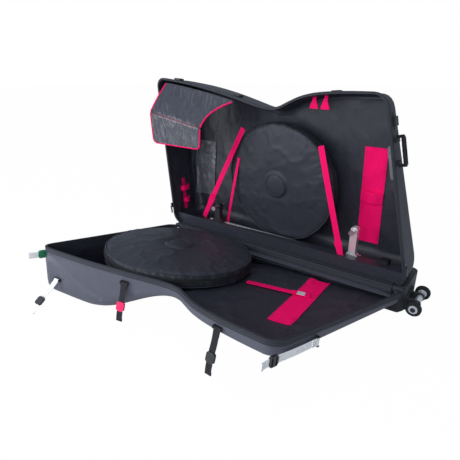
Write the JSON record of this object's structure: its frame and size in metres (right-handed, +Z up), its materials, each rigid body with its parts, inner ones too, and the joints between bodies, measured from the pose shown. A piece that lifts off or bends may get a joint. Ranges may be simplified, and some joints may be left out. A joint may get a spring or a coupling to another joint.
{
  "type": "bike travel case",
  "caption": "Moulded bike travel case with a hinged, zipped lid, padded wheel bags, a floor rail with fork and axle stands, closing straps, carry handles and transport wheels.",
  "frame": {"origin": "on the ground, at the middle of the base's underside between its two long sides", "axes": "+X along the case towards the transport wheels, +Y away from the lid, +Z up"},
  "size_m": [1.3838, 1.1555, 0.8838],
  "materials": {
    "shell_plastic": "satin, moulded",
    "base_plastic": "matt, moulded",
    "lining_cloth": "matt woven",
    "rim_cloth": "matt, ribbed",
    "bag_cloth": "padded, satin",
    "guard_cloth": "crinkled, satin",
    "pad_foam": "matt",
    "red_webbing": "woven",
    "pale_webbing": "woven",
    "dark_webbing": "woven",
    "pocket_film": "crinkled, glossy",
    "alloy": "satin",
    "steel": "brushed",
    "tyre_rubber": "matt",
    "hub_plastic": "satin",
    "black_plastic": "satin",
    "green_plastic": "satin",
    "red_plastic": "satin"
  },
  "bodies": {
    "upright_half": {"main_shell": "shell_plastic", "main_lining": "lining_cloth", "main_zip_tape": "rim_cloth", "hinge_piping": "rim_cloth", "main_hinge_strip": "rim_cloth", "base_tub": "base_plastic", "axle_bracket": "black_plastic", "axle_tube": "alloy", "axle_shaft": "steel", "axle_caps": "black_plastic", "floor_pad": "pad_foam", "stand_rail": "alloy", "back_wheel_bag": "bag_cloth", "load_strap_left": "red_webbing", "load_strap_thin": "red_webbing", "load_strap_right": "red_webbing", "back_panel": "red_webbing", "side_tab": "red_webbing", "end_pocket": "pocket_film", "rear_pad": "pad_foam", "top_tabs": "red_webbing", "end_handle_anchors": "black_plastic", "main_strap_sockets": "black_plastic"},
    "lid": {"lid_shell": "shell_plastic", "lid_lining": "lining_cloth", "lid_zip_tape": "rim_cloth", "lid_hinge_strip": "rim_cloth", "lid_wheel_bag": "bag_cloth", "lid_patch": "red_webbing", "lid_strap": "red_webbing", "lid_strap_slide": "red_plastic", "lid_handle_anchors": "steel", "lid_strap_tabs": "black_plastic"},
    "near_wheel": {"wheel_hub_near": "hub_plastic", "wheel_tyre_near": "tyre_rubber"},
    "far_wheel": {"wheel_hub_far": "hub_plastic", "wheel_tyre_far": "tyre_rubber"},
    "guard": {"guard_upper": "guard_cloth"},
    "guard_flap": {"guard_lower": "guard_cloth"},
    "carry_handle": {"end_handle": "dark_webbing"},
    "grab_handle": {"lid_handle": "dark_webbing"},
    "right_slider": {"zip_slider_right": "black_plastic"},
    "right_pull": {"zip_slider_right_pull": "black_plastic"},
    "left_slider": {"zip_slider_left": "black_plastic"},
    "left_pull": {"zip_slider_left_pull": "black_plastic"},
    "fork_stand": {"fork_mount": "black_plastic", "fork_axle": "steel"},
    "drop_stand": {"drop_mount": "alloy", "drop_axle": "steel"},
    "deep_strap": {"strap_deep": "pale_webbing", "strap_deep_buckle": "black_plastic"},
    "waist_strap": {"strap_waist": "dark_webbing", "strap_waist_buckle": "red_plastic"},
    "tail_strap": {"strap_tail": "dark_webbing", "strap_tail_buckle": "black_plastic"},
    "left_strap": {"strap_left": "pale_webbing", "strap_left_buckle": "green_plastic"},
    "right_strap": {"strap_right": "pale_webbing", "strap_right_buckle": "black_plastic"}
  },
  "joints": [
    {"name": "lid_hinge", "type": "hinge", "parent": "upright_half", "child": "lid", "pos_m": [0, -0.11, 0.12], "axis": [-1, 0, 0], "range_deg": [0, 82], "deforming": ["guard_upper", "guard_lower"]},
    {"name": "near_wheel_spin", "type": "hinge", "parent": "upright_half", "child": "near_wheel", "pos_m": [0.693, -0.104, 0.05], "axis": [0, 1, 0], "continuous": true},
    {"name": "far_wheel_spin", "type": "hinge", "parent": "upright_half", "child": "far_wheel", "pos_m": [0.693, 0.054, 0.05], "axis": [0, 1, 0], "continuous": true},
    {"name": "guard_fold", "type": "hinge", "parent": "upright_half", "child": "guard", "pos_m": [-0.57762, -0.11, 0.86673], "axis": [-0.9872, 0, 0.1598], "range_deg": [0, 100]},
    {"name": "guard_flap_fold", "type": "hinge", "parent": "guard", "child": "guard_flap", "pos_m": [-0.60002, -0.21, 0.725], "axis": [-0.9872, 0, 0.1598], "range_deg": [-20, 80]},
    {"name": "carry_handle_swing", "type": "hinge", "parent": "upright_half", "child": "carry_handle", "pos_m": [0.53714, -0.055, 0.65185], "axis": [-0.2307, 0, 0.973], "range_deg": [-50, 50]},
    {"name": "grab_handle_swing", "type": "hinge", "parent": "lid", "child": "grab_handle", "pos_m": [-0.61769, -0.63216, 0.13279], "axis": [-0.1423, -0.9802, 0.1378], "range_deg": [-50, 50]},
    {"name": "right_zip_slide", "type": "slide", "parent": "upright_half", "child": "right_slider", "axis": [-0.2309, 0, 0.973], "range_m": [0, 0.48]},
    {"name": "right_pull_swing", "type": "hinge", "parent": "right_slider", "child": "right_pull", "pos_m": [0.64477, -0.11, 0.21604], "axis": [0, -1, 0], "range_deg": [0, 165]},
    {"name": "left_zip_slide", "type": "slide", "parent": "upright_half", "child": "left_slider", "axis": [-0.1421, 0, 0.9899], "range_m": [0, 0.48]},
    {"name": "left_pull_swing", "type": "hinge", "parent": "left_slider", "child": "left_pull", "pos_m": [-0.56069, -0.11, 0.21264], "axis": [0, 1, 0], "range_deg": [0, 165]},
    {"name": "fork_stand_slide", "type": "slide", "parent": "upright_half", "child": "fork_stand", "axis": [1, 0, 0], "range_m": [-0.045, 0.02]},
    {"name": "drop_stand_slide", "type": "slide", "parent": "upright_half", "child": "drop_stand", "axis": [1, 0, 0], "range_m": [-0.045, 0.04]},
    {"name": "deep_strap_swing", "type": "hinge", "parent": "lid", "child": "deep_strap", "pos_m": [-0.54681, -0.87265, 0.09308], "axis": [-0.9961, -0.0872, 0.0123], "range_deg": [0, 75]},
    {"name": "waist_strap_swing", "type": "hinge", "parent": "lid", "child": "waist_strap", "pos_m": [-0.19309, -0.81174, 0.1714], "axis": [-0.9752, -0.2191, 0.0308], "range_deg": [0, 75]},
    {"name": "tail_strap_swing", "type": "hinge", "parent": "lid", "child": "tail_strap", "pos_m": [0.27022, -0.84931, 0.18671], "axis": [-0.9948, 0.1006, -0.0141], "range_deg": [0, 75]},
    {"name": "left_strap_swing", "type": "hinge", "parent": "lid", "child": "left_strap", "pos_m": [-0.63514, -0.74902, 0.16336], "axis": [0, -0.1392, -0.9903], "range_deg": [0, 75]},
    {"name": "right_strap_swing", "type": "hinge", "parent": "lid", "child": "right_strap", "pos_m": [0.53022, -0.67283, 0.15265], "axis": [0, 0.1392, 0.9903], "range_deg": [0, 75]}
  ]
}
